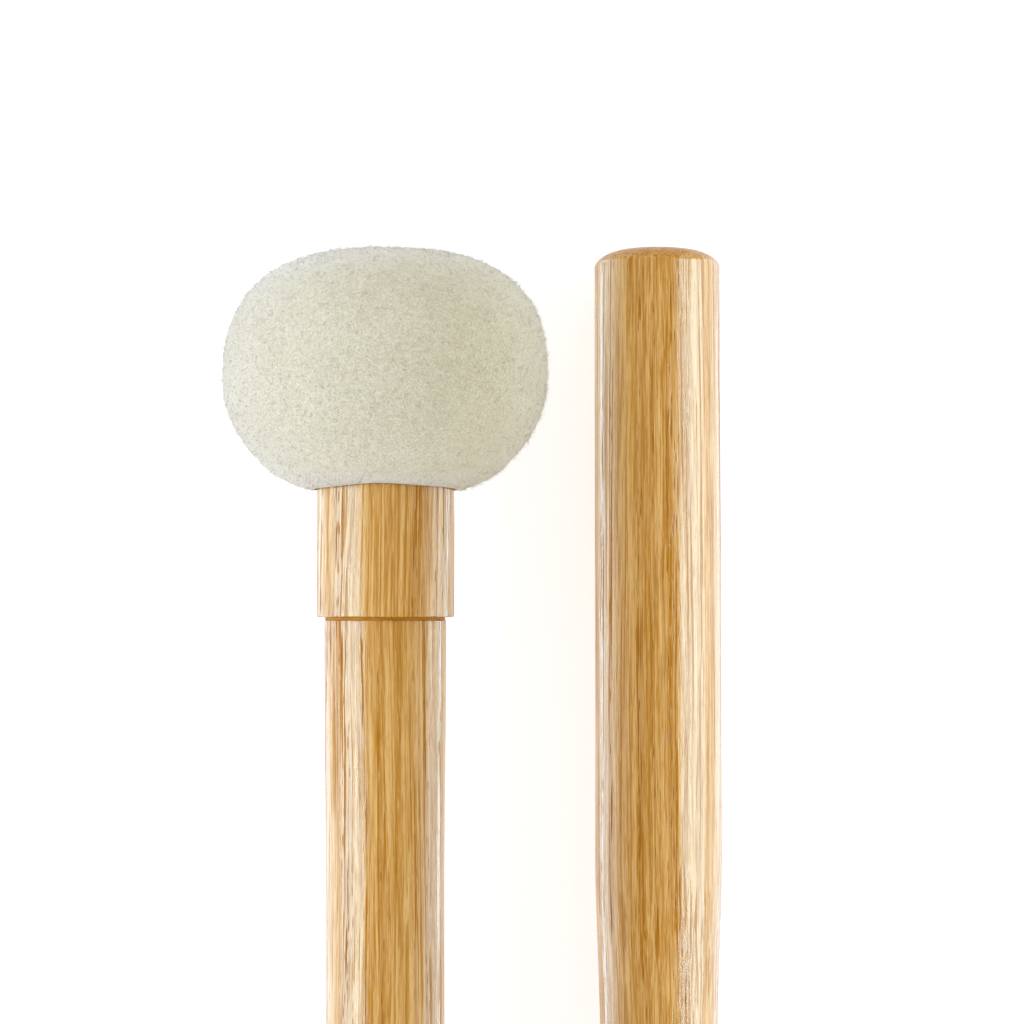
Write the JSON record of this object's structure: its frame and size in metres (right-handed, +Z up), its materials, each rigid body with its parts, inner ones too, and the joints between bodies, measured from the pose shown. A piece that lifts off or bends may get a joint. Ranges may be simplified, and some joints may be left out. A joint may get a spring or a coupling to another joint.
{
  "type": "pair of timpani mallets",
  "caption": "Matched timpani mallets laid head to tail: turned lacquered ash handles, ash collars and flattened ball heads of thick off-white felt over a wooden core.",
  "frame": {"origin": "on the surface the pair lies on, under the middle of the pair", "axes": "+Y along the sticks, towards the head of mallet 1 and the butt of mallet 2; +X across, from mallet 1 to mallet 2; +Z up from the surface"},
  "size_m": [0.075, 0.3694, 0.0406],
  "materials": {
    "handle_ash": "clear gloss lacquer over straight-grained ash, darker end grain on the butt",
    "collar_ash": "clear gloss lacquer over ash, square edges",
    "raw_birch": "turned and left raw, glue on the bore",
    "backing_felt": "firm pressed wool felt",
    "cover_felt": "soft thick off-white wool felt with a short nap",
    "waxed_thread": "waxed linen thread, wound tight"
  },
  "bodies": {
    "mallet_1": {"mallet_1_handle": "handle_ash", "mallet_1_collar": "collar_ash", "mallet_1_head_core": "raw_birch", "mallet_1_liner_wrap": "backing_felt", "mallet_1_crown_pad": "backing_felt", "mallet_1_felt_cover": "cover_felt", "mallet_1_neck_binding": "waxed_thread"},
    "mallet_2": {"mallet_2_handle": "handle_ash", "mallet_2_collar": "collar_ash", "mallet_2_head_core": "raw_birch", "mallet_2_liner_wrap": "backing_felt", "mallet_2_crown_pad": "backing_felt", "mallet_2_felt_cover": "cover_felt", "mallet_2_neck_binding": "waxed_thread"}
  },
  "joints": [
    {"name": "mallet_2_lift", "type": "slide", "parent": "mallet_1", "child": "mallet_2", "axis": [0, 0, 1], "range_m": [0, 0.15]}
  ]
}
